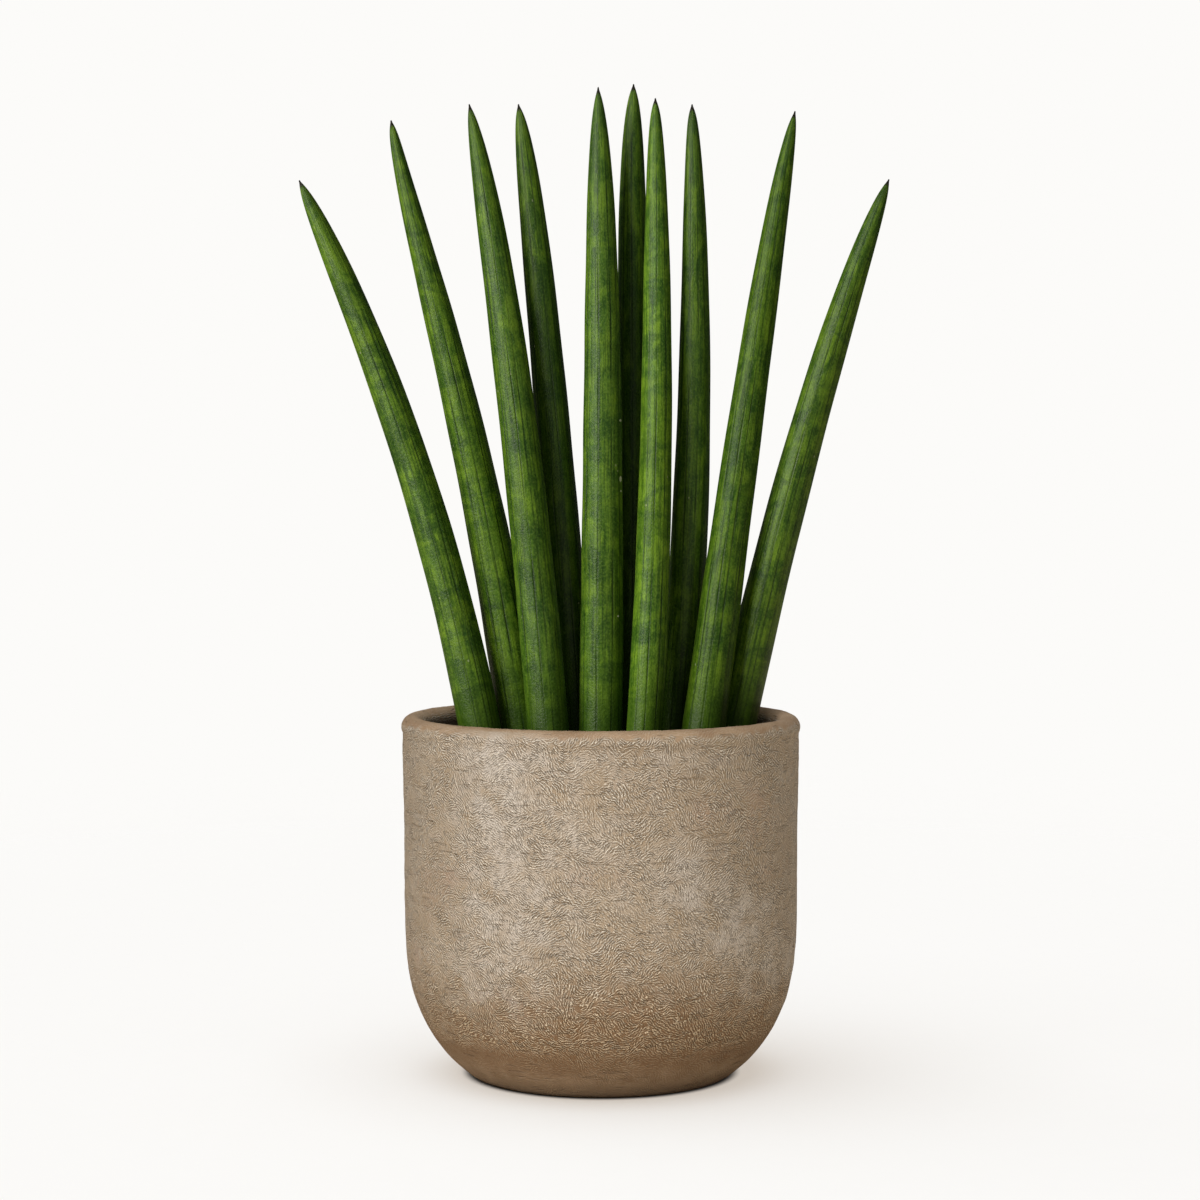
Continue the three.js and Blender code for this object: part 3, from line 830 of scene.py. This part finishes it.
def leaf_material(name, spec):
    t = Tree("skin_" + name)
    straight = t.attribute("straight", "Vector")
    furrow = t.attribute("furrow")
    from_tip = t.attribute("from_tip")
    above = t.attribute("above_soil")
    # k is each leaf's lightness; on the back leaves it carries painted shade
    k = spec["light"]

    def tone(r, g, b):
        return (r * k * 0.94, g * k * 1.07, b * k * 0.62)

    # patches stretched along the leaf
    patch_n = t.noise(t.mapping(straight, (1, 1, 0.5)), 135.0, 3.0, 0.6, 0.8)
    wide = t.noise(t.mapping(straight, (0.8, 0.8, 0.5)), 42.0, 2.0, 0.5)
    # cross bands: long round the leaf, short along it
    bands = t.noise(t.mapping(straight, (0.42, 0.42, 1.0)), 84.0, 2.0, 0.55, 1.2)
    # fine lines along the leaf
    lines = t.noise(t.mapping(straight, (1, 1, 0.022)), 1050.0, 3.0, 0.62)
    threads = t.noise(t.mapping(straight, (1, 1, 0.045)), 520.0, 2.0, 0.5)
    col = t.ramp(
        patch_n,
        [(0.37, tone(0.024, 0.070, 0.007)), (0.50, tone(0.072, 0.148, 0.014)), (0.63, tone(0.162, 0.262, 0.025))],
    )
    col = t.mix(t.range(wide, 0.44, 0.64, 0.0, 0.85 * spec["yellow"]), col, tone(0.150, 0.235, 0.010))
    col = t.mix(t.range(wide, 0.54, 0.36, 0.0, 0.70 * spec["grey"]), col, tone(0.076, 0.144, 0.042))
    col = t.mix(t.range(bands, 0.48, 0.66, 0.0, 0.95 * spec["banding"]), col, tone(0.020, 0.060, 0.006))
    col = t.mix(t.range(bands, 0.49, 0.33, 0.0, 0.70 * spec["banding"]), col, tone(0.160, 0.245, 0.020))
    col = t.mix(t.range(lines, 0.50, 0.62, 0.0, 0.72), col, tone(0.015, 0.044, 0.004))
    col = t.mix(t.range(threads, 0.53, 0.66, 0.0, 0.34), col, tone(0.160, 0.245, 0.030))
    col = t.mix(t.range(threads, 0.47, 0.35, 0.0, 0.38), col, tone(0.020, 0.056, 0.006))
    # young, yellower tissue low on the leaf
    col = t.mix(t.range(above, 0.0, 0.07, 0.35, 0.0, smooth=True), col, tone(0.140, 0.210, 0.012))
    # mealy grain of the skin
    mealy = t.noise(straight, 900.0, 2.0, 0.6)
    col = t.mix(t.range(mealy, 0.50, 0.66, 0.0, 0.24), col, tone(0.220, 0.310, 0.080))
    col = t.mix(t.range(mealy, 0.48, 0.34, 0.0, 0.28), col, tone(0.010, 0.034, 0.003))
    # painted shade low on the inner leaves, where the leaves in front shade them
    if spec.get("low_painted_shade"):
        col = t.mix(t.range(from_tip, 0.045, 0.125, 0.0, spec["low_painted_shade"], smooth=True), col, tone(0.008, 0.026, 0.002))
    # painted shade just above the soil, where the rim and the other leaves shade the leaf bases
    col = t.mix(t.range(above, 0.022, 0.048, 0.60, 0.0, smooth=True), col, tone(0.016, 0.045, 0.003))
    # furrow lines
    col = t.mix(t.math("MULTIPLY", furrow, t.range(t.noise(t.mapping(straight, (1, 1, 0.3)), 70.0, 2.0, 0.6), 0.35, 0.62, 0.62, 1.0)), col, tone(0.007, 0.022, 0.002))
    # small pale scars
    spots = t.voronoi(t.mapping(straight, (1, 1, 0.75)), 85.0)
    col = t.mix(t.range(spots, 0.050, 0.030, 0.0, 0.55), col, (0.42, 0.45, 0.28))
    # single white specks
    for x, z, half_width, half_height in spec.get("specks", ()):
        near = t.node("ShaderNodeVectorMath", operation="LENGTH")
        t.put(
            near.inputs[0],
            t.mapping(t.objects(), (1000 / half_width, 0.0, 1000 / half_height), (-x / half_width, 0.0, -z / half_height)),
        )
        facing = t.math("LESS_THAN", t.split(t.objects())[1], -0.009)
        col = t.mix(t.math("MULTIPLY", t.range(near.outputs["Value"], 0.75, 1.15, 1.0, 0.0), facing), col, (0.66, 0.66, 0.54))
    # dry brown point
    tip = t.range(t.math("ADD", from_tip, t.math("MULTIPLY", t.math("SUBTRACT", patch_n, 0.5), 0.002)), 0.0020, 0.0042, 1.0, 0.0, smooth=True)
    col = t.mix(tip, col, (0.014, 0.011, 0.005))
    height = t.math("ADD", t.math("MULTIPLY", lines, 0.25), t.math("MULTIPLY", mealy, 1.0))
    soft = t.bump(t.noise(t.mapping(straight, (1, 1, 0.35)), 120.0, 2.0, 0.5), 0.0009, 0.30)
    normal = t.bump(height, 0.00030, 0.85, soft)
    roughness = t.range(patch_n, 0.3, 0.7, 0.35, 0.45)
    return t.surface(col, roughness, normal, spec.get("shine", 0.27))


leaf_objects = {}
for leaf_name, leaf_spec in LEAVES.items():
    ob = build_leaf(leaf_name, leaf_spec)
    ob.data.materials.append(leaf_material(leaf_name, leaf_spec))
    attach(ob, "root")
    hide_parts(leaf_name)
    leaf_objects[leaf_name] = ob

# ------------------------------------------------------------ soil

SOIL_R = 88.45
SOIL_N = 320


def soil_base(x, y):
    r = np.hypot(x, y)
    crown = 153.2 + 0.8 * smoothstep(0, 55, r) - 1.8 * smoothstep(60, 84, r)
    return crown


def soil_height(x, y):
    """Height of the bare soil surface, millimetres."""
    p = np.stack([x, y, np.zeros_like(x)], -1).reshape(-1, 3)
    h = 0.85 * waves(p, 34.0, 0.4, 24, 71) + 0.55 * waves(p, 13.0, 0.35, 40, 72)
    h += 0.38 * np.abs(waves(p, 6.0, 0.3, 60, 73)) + 0.30 * np.abs(waves(p, 3.4, 0.25, 60, 74))
    return soil_base(x, y) + h.reshape(x.shape) - 0.5


def leaf_at_height(spec, z):
    p, d, from_tip = leaf_line(spec, 400)
    i = np.interp(z, p[:, 2], np.arange(len(p)))
    c = np.array([np.interp(i, np.arange(len(p)), p[:, j]) for j in range(3)])
    return c[:2], float(leaf_radius(spec, np.interp(i, np.arange(len(p)), from_tip)))


sockets = [leaf_at_height(s, 153.0) for s in LEAVES.values()]
soil_r = np.concatenate([[0.6], np.arange(1.6, 82.0, 0.85), np.arange(82.0, SOIL_R, 0.8), [SOIL_R]])
sa = np.linspace(0, 2 * np.pi, SOIL_N, endpoint=False)
SR, SA = np.meshgrid(soil_r, sa, indexing="ij")
SX, SY = SR * np.cos(SA), SR * np.sin(SA)
SZ = soil_height(SX, SY)
holes = np.zeros(SX.shape)
near_leaf = np.zeros(SX.shape)
for c, r in sockets:
    dist = np.hypot(SX - c[0], SY - c[1]) - r
    holes = np.maximum(holes, (dist < 0.25).astype(float))
    near_leaf = np.maximum(near_leaf, np.exp(-((np.maximum(dist, 0) / 4.0) ** 2)))
SZ = SZ - 0.9 * near_leaf
SZ = np.clip(SZ, 150.2, 156.6)
SZ = np.where(holes > 0, 126.6, SZ)
wall = smooth_path(
    np.vstack([[[SOIL_R, 150.0]], INNER_SIDE[1:] - [[0.45, -0.45]], [[0.6, FLOOR_Z + 0.5]]]), 14.0
)
wall[:, 0] = np.minimum(wall[:, 0], SOIL_R)
wall_x = wall[:, :1] * np.cos(sa)[None]
wall_y = wall[:, :1] * np.sin(sa)[None]
wall_z = np.repeat(wall[:, 1:], SOIL_N, 1)
gx, gy, gz = np.vstack([SX, wall_x]), np.vstack([SY, wall_y]), np.vstack([SZ, wall_z])
soil_pts = np.stack([gx, gy, gz], -1).reshape(-1, 3) * MM
soil_faces = [tuple(f) for f in grid_faces(gx.shape[0], SOIL_N)[:, ::-1]]
soil_faces.append(tuple(range(SOIL_N)))
last = (gx.shape[0] - 1) * SOIL_N
soil_faces.append(tuple(range(last + SOIL_N - 1, last - 1, -1)))


def ball(level):
    """Points and faces of a unit icosphere."""
    import bmesh

    bm = bmesh.new()
    bmesh.ops.create_icosphere(bm, subdivisions=level, radius=1.0)
    bm.verts.ensure_lookup_table()
    p = np.array([v.co[:] for v in bm.verts])
    f = np.array([[v.index for v in face.verts] for face in bm.faces])
    bm.free()
    return p, f


def random_turn(rng, flat=0.0):
    q = rng.normal(size=4)
    q[1:3] *= 1.0 - flat
    q /= np.linalg.norm(q)
    w, a, b, c = q
    return np.array(
        [
            [1 - 2 * (b * b + c * c), 2 * (a * b - c * w), 2 * (a * c + b * w)],
            [2 * (a * b + c * w), 1 - 2 * (a * a + c * c), 2 * (b * c - a * w)],
            [2 * (a * c - b * w), 2 * (b * c + a * w), 1 - 2 * (a * a + b * b)],
        ]
    )


rng = np.random.default_rng(77)
unit, unit_faces = ball(2)
bits_p, bits_f, bits_kind = [], [], []
count = len(soil_pts)
placed = []


def scatter(number, low, high, squash, kind, bumpy):
    global count
    made = 0
    while made < number:
        a, rr = rng.uniform(0, 2 * np.pi), math.sqrt(rng.uniform(0, 1)) * 87.0
        x, y = rr * math.cos(a), rr * math.sin(a)
        size = low * (high / low) ** (rng.uniform(0, 1) ** 1.8)
        reach = size * 1.15
        if math.hypot(x, y) + reach > 87.6:
            continue
        if any(math.hypot(x - c[0], y - c[1]) < r + reach + 0.2 for c, r in sockets):
            continue
        if size > 1.6 and any(math.hypot(x - u, y - v) < 0.8 * (size + w) for u, v, w in placed):
            continue
        h = float(soil_height(np.array([x]), np.array([y]))[0])
        shape_ = np.array([1.0, rng.uniform(0.55, 1.0), rng.uniform(*squash)]) * size
        q = unit * (1 + bumpy * waves(unit + rng.uniform(0, 50, 3), 1.7, 0.4, 10, int(rng.integers(1 << 30)))[:, None])
        q = (q * shape_) @ random_turn(rng, 0.75).T
        q += [x, y, h + 0.25 * size * shape_[2] / size]
        q[:, 2] = np.minimum(q[:, 2], 160.5)
        bits_p.append(q * MM)
        bits_f.append(unit_faces + count)
        bits_kind.append(np.full(len(unit_faces), kind))
        count += len(q)
        placed.append((x, y, size))
        made += 1


scatter(70, 2.2, 5.2, (0.18, 0.40), 1, 0.10)  # bark
scatter(60, 1.2, 2.3, (0.65, 0.95), 2, 0.12)  # perlite
scatter(420, 0.9, 3.2, (0.6, 0.95), 0, 0.16)  # crumbs
soil_all = np.concatenate([soil_pts] + bits_p)
bit_faces = np.concatenate(bits_f)
soil = new_object("potting_mix", soil_all, soil_faces + [tuple(f) for f in bit_faces])
kinds = np.concatenate([np.zeros(len(soil_faces), int)] + bits_kind)
kinds[len(soil_faces):][kinds[len(soil_faces):] == 0] = 0

t = Tree("potting_mix_dark")
where = t.objects()
a = t.noise(where, 260.0, 4.0, 0.65)
b = t.noise(where, 60.0, 3.0, 0.6)
c = t.voronoi(where, 700.0)
col = t.ramp(a, [(0.30, (0.012, 0.008, 0.005)), (0.52, (0.034, 0.023, 0.015)), (0.75, (0.085, 0.060, 0.038))])
col = t.mix(t.range(b, 0.45, 0.65, 0.0, 0.6), col, (0.022, 0.015, 0.011))
col = t.mix(t.range(c, 0.10, 0.05, 0.0, 0.5), col, (0.15, 0.11, 0.07))
normal = t.bump(t.math("ADD", a, t.math("MULTIPLY", c, 0.5)), 0.0010, 0.9)
mix_mat = t.surface(col, t.range(b, 0.3, 0.7, 0.70, 0.92), normal, 0.3)

t = Tree("bark_chips")
where = t.objects()
a = t.noise(t.mapping(where, (1, 0.35, 1)), 420.0, 4.0, 0.6)
b = t.noise(where, 90.0, 1.0, 0.5)
col = t.ramp(a, [(0.30, (0.035, 0.018, 0.010)), (0.55, (0.105, 0.056, 0.030)), (0.75, (0.19, 0.115, 0.066))])
col = t.mix(t.range(b, 0.4, 0.6), col, (0.060, 0.036, 0.022), "MIX")
normal = t.bump(a, 0.0007, 0.9)
bark_mat = t.surface(col, 0.8, normal, 0.3)

t = Tree("perlite")
where = t.objects()
a = t.noise(where, 900.0, 3.0, 0.6)
col = t.ramp(a, [(0.3, (0.34, 0.32, 0.28)), (0.7, (0.62, 0.60, 0.55))])
normal = t.bump(a, 0.0005, 0.8)
perlite_mat = t.surface(col, 0.85, normal, 0.3)

for m in (mix_mat, bark_mat, perlite_mat):
    soil.data.materials.append(m)
soil.data.polygons.foreach_set("material_index", kinds.astype(np.int32))
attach(soil, "root")
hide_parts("soil")

# ------------------------------------------------------------ which light falls on what

leaves = tuple(leaf_objects.values())
for lamps, lit in (
    ((pot_key, pot_front, pot_high, pot_fill, behind), (pot, soil)),
    ((leaf_key, leaf_front, leaf_top, leaf_back), leaves),
    ((floor_light,), (floor,)),
):
    receivers = bpy.data.collections.new("lit_by_" + lamps[0].name)
    for ob in lit:
        receivers.objects.link(ob)
    for lamp in lamps:
        lamp.light_linking.receiver_collection = receivers

scene.cycles.max_bounces = 5
scene.cycles.diffuse_bounces = 3
scene.cycles.glossy_bounces = 2
scene.cycles.transparent_max_bounces = 6

# ------------------------------------------------------------ sizes and end

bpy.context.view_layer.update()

for ob in (pot, soil, *leaf_objects.values()):
    ob.data.calc_loop_triangles()
    print("tris", ob.name, len(ob.data.loop_triangles))
